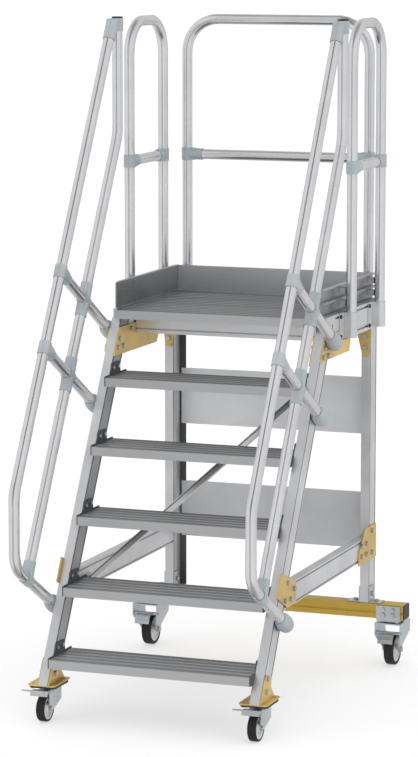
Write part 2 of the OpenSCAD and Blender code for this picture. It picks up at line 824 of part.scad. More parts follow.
module front_castor_brackets() {
    top = front_plate_z + plate_t;
    color("goldenrod") placed() difference() {
        union() {
            at_front_pair() translate([0, 0, front_plate_z + gap])
                linear_extrude(plate_t - gap) chamfered_plate([54, 80], 10);
            both_sides() {
                outer_plate() polygon([[front_at(top) + 3, top - cut], [front_at(225) + 3, 225],
                    [front_at(238) + 14, 238], [front_at(225) + 75, 222], [front_at(185) + 92, 185],
                    [140, 152], [140, top - cut]]);
                inner_plate() polygon([[front_at(top) + 3, top - cut], [front_at(203) + 3, 203],
                    [front_at(203) + 66, 203], [140, 152], [140, top - cut]]);
            }
        }
        both_sides() frame_drills();
        at_front_plate_holes() translate([0, 0, front_plate_z - cut])
            cylinder(r = screw_hole_r, h = plate_t + 3);
    }
}

// rectangle with its four corners cut off; half holds its half width and half depth
module chamfered_plate(half, chamfer) {
    polygon([for (corner = [[-1, -1], [1, -1], [1, 1], [-1, 1]])
        for (k = corner[0] * corner[1] > 0 ? [1, 0] : [0, 1])
            [corner[0] * (half[0] - (1 - k) * chamfer), corner[1] * (half[1] - k * chamfer)]]);
}

module castor_spacer_plates() {
    color("black") placed() difference() {
        at_front_pair() translate([0, 0, spacer_z[0]]) linear_extrude(spacer_z[1] - spacer_z[0])
            chamfered_plate([52, 67], 9);
        at_front_plate_holes() translate([0, 0, spacer_z[0] - cut]) cylinder(r = screw_hole_r, h = 12);
    }
}

king_r = 6;

// castor top plates with their ball race and the king pin the fork turns on
module castor_top_plates() {
    race = 30;
    color("lightgray") placed() {
        at_front_pair() rotate_extrude()
            polygon([[0, 102.8], [10, 102.8], [10, 105.6], [king_r, 105.6], [king_r, 122], [race, 122],
                [race, spacer_z[0] - gap], [0, spacer_z[0] - gap]]);
        both_sides() difference() {
            translate([rear_swivel[0], rear_swivel[1], 0]) {
                rotate_extrude() polygon([[0, 168], [11, 168], [11, 171.6], [king_r, 171.6], [king_r, 180],
                    [race, 180], [race, 185], [0, 185]]);
                translate([-44, -44, 184]) cube([88, 88, rear_flange_z - gap - 184]);
            }
            at_rear_plate_holes() translate([0, 0, 183]) cylinder(r = screw_hole_r, h = 8);
        }
    }
}

// a screw with a low head below z = 0, its shank reaching up
module plate_screw(reach) {
    translate([0, 0, -0.5]) cylinder(r = screw_r, h = reach + 0.5);
    translate([0, 0, -4.2]) cylinder(r = 7.5, h = 4, $fn = 6);
}

module frame_bolts() {
    through_grip = beam_w + 2 * plate_t + 4 * gap;
    short_grip = plate_t + wall + 2 * gap;
    outer_face = outer_x + plate_t + 2 * gap;
    color("lightgray") placed() both_sides() {
        for (hole = through_holes)
            translate([outer_face, hole[0], hole[1]]) rotate([0, 90, 0]) hex_bolt(through_grip);
        for (hole = outer_holes)
            translate([outer_face, hole[0], hole[1]]) rotate([0, 90, 0]) hex_bolt(short_grip);
        for (hole = tread_holes) translate([side_x - end_plate_t - gap, hole[0], hole[1]]) {
            x_rod(4, -1, 14);
            x_rod(7, -4, 0);
        }
        for (z = leg_top_holes) translate([mid_x, leg_y - plate_t - 2 * gap, z])
            rotate([90, 0, 0]) hex_bolt(short_grip);
        at_foot_holes() translate([0, 0, traverse_top + plate_t + 2 * gap])
            hex_bolt(2 * traverse_wall + 3 * gap);
        for (hole = castor_bolts)
            translate([rear_swivel[0] + hole[0], traverse_y - plate_t - 2 * gap, hole[1]])
                rotate([90, 0, 0]) hex_bolt(2 * traverse_wall + 3 * gap);
        at_rear_plate_holes() translate([0, 0, 184 - gap]) plate_screw(10.2);
    }
    color("lightgray") placed() at_front_plate_holes() translate([0, 0, spacer_z[0] - gap]) plate_screw(18);
}

// ---------- castors, each drawn with its swivel axis at x = 0, y = 0 ----------

// places a castor's part; side is -1 for left and 1 for right
module at_front(side) {
    placed() translate([side * mid_x + castor_shift, front_swivel_y, 0]) children();
}
module at_rear(side) { placed() translate([side * rear_swivel[0], rear_swivel[1], 0]) children(); }

front_r = front_wheel_d / 2;
rear_r = rear_wheel_d / 2;
front_pin = [-37, 113];
rear_pin = [-34, 138];
pin_r = 3;
front_axle_r = 6;
rear_axle_r = 7;

module x_ring(points) { rotate([0, 90, 0]) rotate_extrude() polygon(points); }

module x_hex(r, x0, x1) { translate([x0, 0, 0]) rotate([0, 90, 0]) cylinder(r = r, h = x1 - x0, $fn = 6); }

module front_fork() {
    cheek = [19.5, 23];
    color("lightgray") difference() {
        union() {
            for (side = [0, 1]) mirror([side, 0, 0]) {
                yz_plate(cheek[0], cheek[1]) polygon([[-51, front_r], [-46, 118], [-28, 118], [-24, 111],
                    [62, 111], [62, 66], [-26, front_r - 14]]);
                translate([0, front_trail, front_r]) x_rod(13, cheek[0], cheek[1]);
            }
            translate([-cheek[1], -28, 106]) cube([2 * cheek[1], 90, 5]);
            translate([0, 0, 106]) cylinder(r = 22, h = 15.7);
        }
        translate([0, 0, 100]) cylinder(r = king_r + run, h = 25);
        translate([0, front_trail, front_r]) x_rod(front_axle_r + run, -30, 30);
        translate([0, front_pin[0], front_pin[1]]) x_rod(pin_r + run, -30, 30);
    }
}

module front_axle_pins() {
    color("silver") {
        translate([0, front_trail, front_r]) {
            x_rod(front_axle_r, -24, 24);
            both_sides() x_hex(9, 23.2, 28);
        }
        translate([0, front_pin[0], front_pin[1]]) {
            x_rod(pin_r, -23.5, 23.5);
            both_sides() x_rod(5, 23.2, 25);
        }
    }
}

module front_rim() {
    color("gray") translate([0, front_trail, front_r])
        x_ring([[front_axle_r + run, -19.2], [14, -19.2], [14, -6], [34, -4], [36, -15],
            [front_r - 8.1, -15], [front_r - 8.1, 15], [36, 15], [34, 4], [14, 6], [14, 19.2],
            [front_axle_r + run, 19.2]]);
}

module front_tyre() {
    r = front_r;
    color("black") translate([0, front_trail, r])
        x_ring([[r - 8, -15.5], [r - 3, -17.5], [r - 1, -15.5], [r, -12], [r, 12], [r - 1, 15.5],
            [r - 3, 17.5], [r - 8, 15.5]]);
}

module front_pedal() {
    color("silver") difference() {
        union() {
            translate([0, front_pin[0], front_pin[1]]) x_rod(6.5, -19.2, 19.2);
            yz_plate(-19, 19) polygon([[-37, 114], [-58, 117.4], [-58, 120.8], [-37, 119]]);
            yz_plate(-36, 32)
                polygon([[-53.5, 116.9], [-86, 120.5], [-90, 104], [-93.2, 104.6], [-88.5, 124],
                    [-53.5, 120.4]]);
            translate([-72, -88, 118]) cube([50, 9, 4.5]);
        }
        translate([0, front_pin[0], front_pin[1]]) x_rod(pin_r + run, -30, 30);
    }
}

module rear_fork() {
    color("lightgray") difference() {
        union() {
            intersection() {
                xz_plate(-46, 85) polygon([[-53, 177], [53, 177], [53, 130], [33, 77], [33, 44], [29, 44],
                    [29, 78], [48.8, 131], [48.8, 172], [-48.8, 172], [-48.8, 131], [-29, 78], [-29, 44],
                    [-33, 44], [-33, 77], [-53, 130]]);
                union() {
                    yz_plate(-60, 60) polygon([[-46, 178], [85, 178], [85, 130], [40, rear_r - 8],
                        [10, rear_r - 8], [-30, 102], [-46, 128]]);
                    translate([0, rear_trail, rear_r]) x_rod(16, -60, 60);
                }
            }
            translate([0, 0, 174]) cylinder(r = 26, h = 5.8);
        }
        translate([0, 0, 165]) cylinder(r = king_r + run, h = 20);
        translate([0, rear_trail, rear_r]) x_rod(rear_axle_r + run, -60, 60);
        translate([0, rear_pin[0], rear_pin[1]]) x_rod(pin_r + run, -60, 60);
    }
}

module rear_axle_pins() {
    color("silver") {
        translate([0, rear_trail, rear_r]) {
            x_rod(rear_axle_r, -34, 34);
            both_sides() x_hex(11, 33.2, 40);
        }
        translate([0, rear_pin[0], rear_pin[1]]) {
            x_rod(pin_r, -53.6, 53.6);
            both_sides() x_rod(5.5, 53.2, 55.5);
        }
    }
}

module rear_rim() {
    color("gray") translate([0, rear_trail, rear_r])
        x_ring([[rear_axle_r + run, -28.5], [18, -28.5], [18, -8], [40, -5], [43, -17], [rear_r - 12.6, -17],
            [rear_r - 12.6, 17], [43, 17], [40, 5], [18, 8], [18, 28.5], [rear_axle_r + run, 28.5]]);
}

module rear_tyre() {
    r = rear_r;
    color("black") translate([0, rear_trail, r])
        x_ring([[r - 12.5, -18], [r - 4.5, -20], [r - 1, -17], [r, -12], [r, 12], [r - 1, 17], [r - 4.5, 20],
            [r - 12.5, 18]]);
}

module rear_pedal() {
    color("silver") difference() {
        union() {
            translate([0, rear_pin[0], rear_pin[1]]) x_rod(6.5, -48.4, 48.4);
            yz_plate(-30, 30) polygon([[-34, 144.5], [-52, 143], [-68, 134], [-79, 119], [-83, 104],
                [-79.5, 103], [-75, 117], [-65.5, 130.5], [-51, 139], [-38, 139.5]]);
            for (rib = [[-52, 143], [-68, 134], [-79, 119]])
                translate([0, rib[0], rib[1]]) x_rod(2.2, -27, 27);
        }
        translate([0, rear_pin[0], rear_pin[1]]) x_rod(pin_r + run, -60, 60);
    }
}

module front_left_fork() { at_front(-1) front_fork(); }
module front_left_axle_pins() { at_front(-1) front_axle_pins(); }
module front_left_rim() { at_front(-1) front_rim(); }
module front_left_tyre() { at_front(-1) front_tyre(); }
module front_left_pedal() { at_front(-1) front_pedal(); }
module front_right_fork() { at_front(1) front_fork(); }
module front_right_axle_pins() { at_front(1) front_axle_pins(); }
module front_right_rim() { at_front(1) front_rim(); }
module front_right_tyre() { at_front(1) front_tyre(); }
module front_right_pedal() { at_front(1) front_pedal(); }
module rear_left_fork() { at_rear(-1) rear_fork(); }
module rear_left_axle_pins() { at_rear(-1) rear_axle_pins(); }
module rear_left_rim() { at_rear(-1) rear_rim(); }
module rear_left_tyre() { at_rear(-1) rear_tyre(); }
module rear_left_pedal() { at_rear(-1) rear_pedal(); }
module rear_right_fork() { at_rear(1) rear_fork(); }
module rear_right_axle_pins() { at_rear(1) rear_axle_pins(); }
module rear_right_rim() { at_rear(1) rear_rim(); }
module rear_right_tyre() { at_rear(1) rear_tyre(); }
module rear_right_pedal() { at_rear(1) rear_pedal(); }

stringer_left();
stringer_right();
tread_1();
tread_2();
tread_3();
tread_4();
tread_5();
tread_end_plates();
deck_planks();
platform_side_beams();
platform_cross_beams();
rear_legs();
toe_boards();
toe_board_spacers();
guardrail_left();
guardrail_right();
guardrail_rear();
guardrail_mid_bars();
guardrail_connectors();
post_sleeves();
sleeve_bolts();
handrails();
knee_rails();
handrail_struts();
handrail_connectors();
handrail_feet();
end_caps();
stringer_gussets();
side_brace_gussets();
leg_top_brackets();
side_braces();
diagonal_brace();
rear_panels();
panel_rails();
traverse();
traverse_brackets();
front_castor_brackets();
castor_spacer_plates();
castor_top_plates();
frame_bolts();
front_left_fork();
front_left_axle_pins();
front_left_rim();
front_left_tyre();
front_left_pedal();
front_right_fork();
front_right_axle_pins();
front_right_rim();
front_right_tyre();
front_right_pedal();
rear_left_fork();
rear_left_axle_pins();
rear_left_rim();
rear_left_tyre();
rear_left_pedal();
rear_right_fork();
rear_right_axle_pins();
rear_right_rim();
rear_right_tyre();
rear_right_pedal();
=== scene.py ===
import json
import math

import bmesh
import bpy
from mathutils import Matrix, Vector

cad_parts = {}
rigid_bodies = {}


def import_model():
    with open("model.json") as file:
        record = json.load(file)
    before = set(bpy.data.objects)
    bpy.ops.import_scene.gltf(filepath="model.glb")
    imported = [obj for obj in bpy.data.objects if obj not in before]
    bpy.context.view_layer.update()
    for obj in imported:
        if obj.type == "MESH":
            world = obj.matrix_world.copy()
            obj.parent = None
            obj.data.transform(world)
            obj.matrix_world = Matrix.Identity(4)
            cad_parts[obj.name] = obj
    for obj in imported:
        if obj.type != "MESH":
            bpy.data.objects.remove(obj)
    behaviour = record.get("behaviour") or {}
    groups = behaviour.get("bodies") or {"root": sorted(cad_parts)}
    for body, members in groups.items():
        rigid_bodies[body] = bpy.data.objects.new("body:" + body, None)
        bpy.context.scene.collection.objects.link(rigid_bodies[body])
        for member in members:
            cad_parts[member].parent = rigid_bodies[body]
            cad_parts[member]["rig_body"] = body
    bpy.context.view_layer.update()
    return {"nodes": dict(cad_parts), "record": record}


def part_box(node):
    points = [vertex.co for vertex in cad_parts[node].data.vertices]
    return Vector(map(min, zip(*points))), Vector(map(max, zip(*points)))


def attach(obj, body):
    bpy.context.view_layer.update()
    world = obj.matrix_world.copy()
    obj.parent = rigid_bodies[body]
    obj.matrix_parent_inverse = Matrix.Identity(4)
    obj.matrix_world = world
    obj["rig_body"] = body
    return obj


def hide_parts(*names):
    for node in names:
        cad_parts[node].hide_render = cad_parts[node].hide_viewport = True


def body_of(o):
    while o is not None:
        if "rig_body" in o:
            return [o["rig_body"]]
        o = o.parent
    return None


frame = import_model()
nodes = frame["nodes"]
slots = {entry["node"]: entry["material_slot"] for entry in frame["record"]["subparts"]}

# ---------- slope of the stairs, from the frame ----------

TREAD = [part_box(f"tread_{k}") for k in range(1, 6)]
RISE = TREAD[1][1][2] - TREAD[0][1][2]
GOING = TREAD[1][0][1] - TREAD[0][0][1]
SLOPE = math.atan2(RISE, GOING)


# ---------- node helpers ----------

def node(tree, kind, **values):
    """A shader node; values name its inputs, or its own settings when no input has that name."""
    made = tree.nodes.new(kind)
    for name, value in values.items():
        label = name.replace("_", " ")
        if label in made.inputs:
            if isinstance(value, bpy.types.NodeSocket):
                tree.links.new(value, made.inputs[label])
            else:
                made.inputs[label].default_value = value
        else:
            setattr(made, name, value)
    return made


def maths(tree, operation, a, b=0.0):
    """One Math node on a and b, which are sockets or numbers."""
    made = tree.nodes.new("ShaderNodeMath")
    made.operation = operation
    for socket, value in zip(made.inputs, (a, b)):
        if isinstance(value, bpy.types.NodeSocket):
            tree.links.new(value, socket)
        else:
            socket.default_value = value
    return made.outputs[0]


def span(tree, value, low, high, to_low=0.0, to_high=1.0):
    """value from low..high laid onto to_low..to_high and held there beyond them."""
    made = node(tree, "ShaderNodeMapRange", Value=value)
    made.clamp = True
    for label, number in (("From Min", low), ("From Max", high), ("To Min", to_low), ("To Max", to_high)):
        made.inputs[label].default_value = number
    return made.outputs["Result"]


def mix(tree, factor, a, b, blend="MIX"):
    """Colour a turning into b as factor rises; each is a socket, a number or a colour."""
    made = tree.nodes.new("ShaderNodeMix")
    made.data_type = "RGBA"
    made.blend_type = blend
    for socket, value in ((made.inputs[0], factor), (made.inputs[6], a), (made.inputs[7], b)):
        if isinstance(value, bpy.types.NodeSocket):
            tree.links.new(value, socket)
        elif isinstance(value, (int, float)):
            socket.default_value = value
        else:
            socket.default_value = (*value, 1.0)
    return made.outputs[2]


def noise(tree, scale, stretch=(1, 1, 1), turn=(0, 0, 0), detail=4.0, rough=0.55):
    """Noise over the row frame's metres; stretch multiplies each axis after the turn."""
    place = tree.nodes.new("ShaderNodeTexCoord").outputs["Object"]
    spin = node(tree, "ShaderNodeMapping", Vector=place, Rotation=turn)
    size = node(tree, "ShaderNodeMapping", Vector=spin.outputs[0], Scale=[scale * s for s in stretch])
    return node(tree, "ShaderNodeTexNoise", Vector=size.outputs[0], Scale=1.0, Detail=detail,
                Roughness=rough).outputs["Fac"]


# ---------- materials ----------

GRAIN = {  # turn and stretch that make the drawn lines run along a profile
    "x": ((0, 0, 0), (0.02, 1, 1)),
    "y": ((0, 0, 0), (1, 0.02, 1)),
    "z": ((0, 0, 0), (1, 1, 0.02)),
    "slope": ((math.pi / 2 - SLOPE, 0, 0), (1, 1, 0.02)),
    "none": ((0, 0, 0), (1, 1, 1)),
}


def surface(name, base, metallic, rough, grain="none", grain_size=900.0, grain_depth=0.15, tint=0.06,
            edge_wear_and_highlight=0.12, edge_wear_and_highlight_tone=None, crevice_shade=0.6, crevice_shade_reach=0.006, crevice_shade_tone=(0.03, 0.03, 0.03),
            blotch=None, dust=0.0, painted_front_light=None, painted_side_reflection=None, painted_height_shade=None):
    """A surface with drawn or sandy grain, cloudy tone, painted shade in corners and grooves, and edges
    lightened for wear and as a painted highlight.

    The front tone is painted light on faces turned to -y, and the side tone a painted dark reflection on
    faces turned to +x. The height factor is (low z, high z, factor at low z, factor at high z), painted light
    and shade by height. It and dust lighten or darken the base tone.
    """
    material = bpy.data.materials.new(name)
    material.use_nodes = True
    tree = material.node_tree
    shader = tree.nodes["Principled BSDF"]
    turn, stretch = GRAIN[grain]
    fine = noise(tree, grain_size, stretch, turn, 5.0)
    cloud = noise(tree, 5.0, detail=5.0)
    patch = noise(tree, 38.0, detail=6.0, rough=0.65)
    dark = tuple(c * (1 - 2.4 * tint) for c in base)
    light = tuple(min(1.0, c * (1 + 1.6 * tint)) for c in base)
    colour = mix(tree, span(tree, cloud, 0.35, 0.65), dark, light)
    colour = mix(tree, span(tree, fine, 0.3, 0.7, 0.0, 0.5), colour, dark)
    # painted light and shade: the tone is multiplied by a factor that changes with height
    if painted_height_shade:
        place = tree.nodes.new("ShaderNodeTexCoord").outputs["Object"]
        height = node(tree, "ShaderNodeSeparateXYZ", Vector=place).outputs[2]
        colour = mix(tree, 1.0, colour, span(tree, height, *painted_height_shade), blend="MULTIPLY")
    normal = tree.nodes.new("ShaderNodeNewGeometry").outputs["Normal"]
    facing_way = node(tree, "ShaderNodeSeparateXYZ", Vector=normal).outputs
    # painted light: faces turned to -y take the lighter front tone
    if painted_front_light:
        colour = mix(tree, span(tree, facing_way[1], -0.35, -0.8), colour, painted_front_light)
    # painted reflection: faces turned to +x take the darker side tone
    if painted_side_reflection:
        colour = mix(tree, span(tree, facing_way[0], 0.5, 0.9), colour, painted_side_reflection)
    if blotch:
        colour = mix(tree, span(tree, patch, 0.45, 0.7, 0.0, 0.55), colour, blotch)
    # edges lightened partly for wear and partly as a painted highlight
    if edge_wear_and_highlight:
        rounded = node(tree, "ShaderNodeBevel", samples=4, Radius=0.0014).outputs[0]
        facing = node(tree, "ShaderNodeVectorMath", operation="DOT_PRODUCT")
        tree.links.new(rounded, facing.inputs[0])
        tree.links.new(normal, facing.inputs[1])
        worn_and_lit = span(tree, facing.outputs["Value"], 0.985, 0.9, 0.0, 1.0)
        worn_and_lit = maths(tree, "MULTIPLY", worn_and_lit, span(tree, patch, 0.35, 0.6, 0.25, 1.0))
        worn_and_lit = maths(tree, "MULTIPLY", worn_and_lit, edge_wear_and_highlight)
        colour = mix(tree, worn_and_lit, colour, edge_wear_and_highlight_tone or tuple(min(1.0, c * 1.35 + 0.04) for c in base))
    if dust:
        dusty = maths(tree, "MULTIPLY", span(tree, facing_way[2], 0.3, 1.0),
                       span(tree, patch, 0.4, 0.7, 0.2, 1.0))
        colour = mix(tree, maths(tree, "MULTIPLY", dusty, dust), colour, (0.45, 0.44, 0.42))
    # painted shade: corners, grooves and gaps darkened by ambient occlusion
    if crevice_shade:
        hollow = node(tree, "ShaderNodeAmbientOcclusion", samples=6, Distance=crevice_shade_reach).outputs["AO"]
        painted_shade = span(tree, hollow, 0.75, 0.2, 0.0, crevice_shade)
        colour = mix(tree, painted_shade, colour, crevice_shade_tone)
    tree.links.new(colour, shader.inputs["Base Color"])
    shader.inputs["Metallic"].default_value = metallic
    roughness = maths(tree, "ADD", span(tree, fine, 0.25, 0.75, rough - 0.07, rough + 0.09),
                       span(tree, cloud, 0.3, 0.7, -0.05, 0.06))
    tree.links.new(roughness, shader.inputs["Roughness"])
    bump = node(tree, "ShaderNodeBump", Height=fine, Strength=grain_depth, Distance=0.0004)
    tree.links.new(bump.outputs[0], shader.inputs["Normal"])
    return material


# the profiles' finish, with strong painted shade in their grooves
PROFILE_LOOK = {"base": (0.74, 0.745, 0.76), "metallic": 0.75, "rough": 0.36, "crevice_shade": 0.95,
                "crevice_shade_reach": 0.009}


def profile(grain):
    # painted light on the front faces of the profiles that run across
    painted_front_light = (0.93, 0.935, 0.95) if grain == "x" else None
    return surface(f"profile_{grain}", grain=grain, painted_front_light=painted_front_light, **PROFILE_LOOK)


def profile_with_painted_reflection():
    """The left stringer's finish, with a painted dark reflection on the side that faces the treads."""
    return surface("profile_painted_reflection", grain="slope", painted_side_reflection=(0.40, 0.405, 0.42), **PROFILE_LOOK)


def tread_surface(grain):
    # painted shade and light: treads darker towards the top, lighter front faces, shaded grooves, highlighted
    # edges
    return surface(f"tread_{grain}", (0.20, 0.205, 0.21), 0.6, 0.38, grain, tint=0.12,
                   painted_height_shade=(0.3, 0.9, 0.92, 0.34), edge_wear_and_highlight=0.3, edge_wear_and_highlight_tone=(0.50, 0.51, 0.52),
                   crevice_shade=0.9, crevice_shade_reach=0.004, dust=0.06, painted_front_light=(0.48, 0.485, 0.495))


MAKERS = {  # the finish of each material slot, given its grain
    "profile_aluminium": profile,
    "tread_aluminium": tread_surface,
    "tube_aluminium": lambda g: surface("tube", (0.80, 0.80, 0.82), 0.9, 0.17, grain_size=500,
                                        grain_depth=0.06, tint=0.03),
    # painted shade darker towards the bottom, and painted light on the front faces
    "toe_aluminium": lambda g: surface("toe_board", (0.44, 0.445, 0.46), 0.8, 0.3, "y",
                                       painted_height_shade=(1.45, 1.6, 0.7, 1.05), painted_front_light=(0.68, 0.69, 0.71)),
    "cast_aluminium": lambda g: surface("casting", (0.50, 0.55, 0.57), 0.45, 0.48, grain_size=700,
                                        grain_depth=0.5, tint=0.08),
    "sleeve_aluminium": lambda g: surface("sleeve", (0.70, 0.71, 0.73), 0.7, 0.36, "z"),
    "yellow_zinc": lambda g: surface("yellow_zinc", (0.80, 0.55, 0.17), 0.6, 0.34, grain_size=300,
                                     grain_depth=0.1, tint=0.1, blotch=(0.70, 0.55, 0.26)),
    # painted shade: darker towards the bottom
    "panel_sheet": lambda g: surface("panel", (0.80, 0.81, 0.83), 0.3, 0.42, "x", tint=0.03,
                                     painted_height_shade=(0.6, 1.0, 0.74, 1.0)),
    "mustard_paint": lambda g: surface("mustard", (0.58, 0.38, 0.055), 0.35, 0.42, "x", tint=0.06),
    "black_plastic": lambda g: surface("black_plastic", (0.035, 0.035, 0.037), 0.0, 0.5, grain_size=1500,
                                       grain_depth=0.35, tint=0.1, edge_wear_and_highlight=0.2, edge_wear_and_highlight_tone=(0.12, 0.12, 0.12)),
    "black_steel": lambda g: surface("black_steel", (0.03, 0.03, 0.032), 0.6, 0.4, grain_size=800),
    "dark_plate": lambda g: surface("dark_plate", (0.10, 0.105, 0.11), 0.4, 0.5, grain_size=600, dust=0.15),
    "tyre_rubber": lambda g: surface("tyre", (0.009, 0.009, 0.010), 0.0, 0.6, grain_size=1300,
                                     grain_depth=0.3, edge_wear_and_highlight=0.1, edge_wear_and_highlight_tone=(0.03, 0.03, 0.03), dust=0.03,
                                     blotch=(0.016, 0.015, 0.015)),
    "hub_plastic": lambda g: surface("hub", (0.012, 0.012, 0.013), 0.0, 0.45, grain_size=1000,
                                     grain_depth=0.2, edge_wear_and_highlight=0.2, edge_wear_and_highlight_tone=(0.06, 0.06, 0.06)),
    "rim_plastic": lambda g: surface("rim", (0.66, 0.67, 0.68), 0.0, 0.42, grain_size=900, grain_depth=0.2),
    "bright_zinc": lambda g: surface("bright_zinc", (0.66, 0.69, 0.71), 0.9, 0.3, grain_size=160,
                                     grain_depth=0.08, tint=0.1, blotch=(0.56, 0.60, 0.64)),
}

# the direction in which each extruded node runs
ALONG = {"stringer_left": "slope", "stringer_right": "slope", "rear_legs": "z", "platform_side_beams": "y",
         "side_braces": "y", "platform_cross_beams": "x", "diagonal_brace": "x", "deck_planks": "x"}
ALONG.update({f"tread_{k}": "x" for k in range(1, 6)})

finish_of = {}


def material_for(slot, grain="none"):
    """The slot's material, made once for each grain."""
    key = (slot, grain)
    if key not in finish_of:
        finish_of[key] = MAKERS[slot](grain)
    return finish_of[key]


def paint(obj, material):
    obj.data.materials.clear()
    obj.data.materials.append(material)


def soften_edges(obj):
    bevel = obj.modifiers.new("edges", "BEVEL")
    bevel.width = EDGE_BEVEL
    bevel.segments = 2
    bevel.limit_method = "ANGLE"
    bevel.angle_limit = BEVEL_ABOVE
    bevel.use_clamp_overlap = True


EDGE_BEVEL = 0.0006
BEVEL_ABOVE = math.radians(38)

for name, obj in nodes.items():
    paint(obj, material_for(slots[name], ALONG.get(name, "none")))
    soften_edges(obj)
# the left stringer gets a painted dark reflection on its inner side
paint(nodes["stringer_left"], profile_with_painted_reflection())

# ---------- pieces built over the frame ----------

MM = 0.001
LATHE_STEPS = 72


def new_piece(name, build, body):
    """A mesh piece made by build(mesh), that moves with a CAD body."""
    made = bmesh.new()
    build(made)
    bmesh.ops.remove_doubles(made, verts=made.verts, dist=1e-6)
    bmesh.ops.recalc_face_normals(made, faces=made.faces)
    data = bpy.data.meshes.new(name)
    made.to_mesh(data)
    made.free()
    piece = bpy.data.objects.new(name, data)
    bpy.context.scene.collection.objects.link(piece)
    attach(piece, body)
    return piece


def lathe(mesh, outline, centre, axis="x", second_slot=()):
    """Turns a closed outline of (radius, along) points in mm about an axis through centre.

    The sides of the outline whose numbers are in second_slot take the piece's second material.
    """
    def place(radius, along, turn):
        a, b = radius * MM * math.cos(turn), radius * MM * math.sin(turn)
        offset = (along * MM, a, b) if axis == "x" else (a, b, along * MM)
        return [c + o for c, o in zip(centre, offset)]

    rings = [[mesh.verts.new(place(r, along, 2 * math.pi * t / LATHE_STEPS)) for t in range(LATHE_STEPS)]
             for r, along in outline]
    for k in range(len(outline)):
        inner, outer = rings[k], rings[(k + 1) % len(outline)]
        for t in range(LATHE_STEPS):
            after = (t + 1) % LATHE_STEPS
            face = mesh.faces.new((inner[t], inner[after], outer[after], outer[t]))
            face.smooth = True
            face.material_index = int(k in second_slot)


def middle(name):
    """The middle of a CAD node's box."""
    low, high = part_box(name)
    return [(a + b) / 2 for a, b in zip(low, high)]


def tyre_outline(radius, half, inner):
    """Rounded shoulders, a bead beside the rim and three narrow grooves round the tread."""
    left = [(inner, -half + 2.4), (inner + 1.8, -half + 1.2), (inner + 3.2, -half), (radius - 5, -half + 0.2),
            (radius - 2.2, -half + 1.6), (radius - 0.7, -half + 4)]
    floor_r = radius - 1.8
    grooves = []
    for at in (-half * 0.5, 0, half * 0.5):
        grooves += [(radius, at - 1.3), (floor_r, at - 0.6), (floor_r, at + 0.6), (radius, at + 1.3)]
    return left + grooves + [(r, -along) for r, along in reversed(left)]


def rim_outline(radius, half, bore, hub, hub_half, web):
    """Ring, thin web and hub, with rounded lips."""
    left = [(bore, -hub_half), (hub - 2, -hub_half), (hub, -hub_half + 2), (hub + 1, -web - 1.5),
            (hub + 3, -web), (radius - 11, -web), (radius - 8.5, -web - 2), (radius - 7, -half + 1),
            (radius - 5, -half), (radius, -half)]
    return left + [(r, -along) for r, along in reversed(left)]


# sizes in mm; trail is how far the wheel stands ahead of its swivel, and seal_z the height of the seal
CASTORS = {
    "front": {"radius": 50, "half": 17.4, "rim_r": 42, "rim_half": 15, "bore": 6.5, "hub": 14,
              "hub_half": 19.0, "web": 5, "trail": -38, "seal_r": 24, "seal_z": 119.5},
    "rear": {"radius": 62.5, "half": 19.8, "rim_r": 50, "rim_half": 17, "bore": 8.5, "hub": 18,
             "hub_half": 28.3, "web": 7, "trail": 25, "seal_r": 28, "seal_z": 177.7},
}
DARK_SIDES = 6
TYRE_LAP = 0.2


def add_tyre(name, size):
    section = tyre_outline(size["radius"], size["half"], size["rim_r"] - TYRE_LAP)
    old = f"{name}_tyre"
    tyre = new_piece(f"{name}_tyre_grooved", lambda mesh: lathe(mesh, section, middle(old)),
                     body_of(nodes[old])[0])
    paint(tyre, material_for("tyre_rubber"))
    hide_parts(old)


def add_rim(name, size):
    """A light ring round a dark web and hub, which are the first and last sides of the outline."""
    section = rim_outline(size["rim_r"], size["rim_half"], size["bore"], size["hub"], size["hub_half"],
                          size["web"])
    dark = [k for k in range(len(section)) if k < DARK_SIDES or k >= len(section) - DARK_SIDES - 1]
    rim = new_piece(f"{name}_rim_moulded",
                    lambda mesh: lathe(mesh, section, middle(f"{name}_tyre"), second_slot=dark),
                    body_of(nodes[f"{name}_tyre"])[0])
    paint(rim, material_for("rim_plastic"))
    rim.data.materials.append(material_for("hub_plastic"))
    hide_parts(f"{name}_rim")


def add_race_seal(name, size):
    """The dark seal that closes the ball race between a castor's top plate and its fork."""
    r = size["seal_r"]
    section = [(r - 4, -2.0), (r, -1.2), (r + 0.6, 0), (r, 1.2), (r - 4, 2.0)]
    swivel = (middle(f"{name}_fork")[0], middle(f"{name}_tyre")[1] - size["trail"] * MM, size["seal_z"] * MM)
    seal = new_piece(f"{name}_race_seal", lambda mesh: lathe(mesh, section, swivel, axis="z"),
                     body_of(nodes[f"{name}_fork"])[0])
    paint(seal, material_for("black_plastic"))


for place, size in CASTORS.items():
    for side in ("left", "right"):
        add_tyre(f"{place}_{side}", size)
        add_rim(f"{place}_{side}", size)
for side in ("left", "right"):
    for place, size in CASTORS.items():
        add_race_seal(f"{place}_{side}", size)

# ---------- floor, light, camera ----------

FLOOR_SIZE = 300.0
FLOOR_DROP = 0.0006
FLOOR_GLOW = 0.52


def make_floor(paint_of_floor):
    mesh = bmesh.new()
    bmesh.ops.create_grid(mesh, x_segments=1, y_segments=1, size=FLOOR_SIZE / 2)
    data = bpy.data.meshes.new("floor")
    mesh.to_mesh(data)
    floor = bpy.data.objects.new("floor", data)
    floor.location.z = -FLOOR_DROP
    bpy.context.scene.collection.objects.link(floor)
    paint(floor, paint_of_floor)


CAMERA_YAW = math.radians(20.386)
CAMERA_PITCH = math.radians(8.361)
HALF_GAP = math.radians(9)
GAP_BLUR = math.radians(15)
GAP_AT = math.radians(-2)


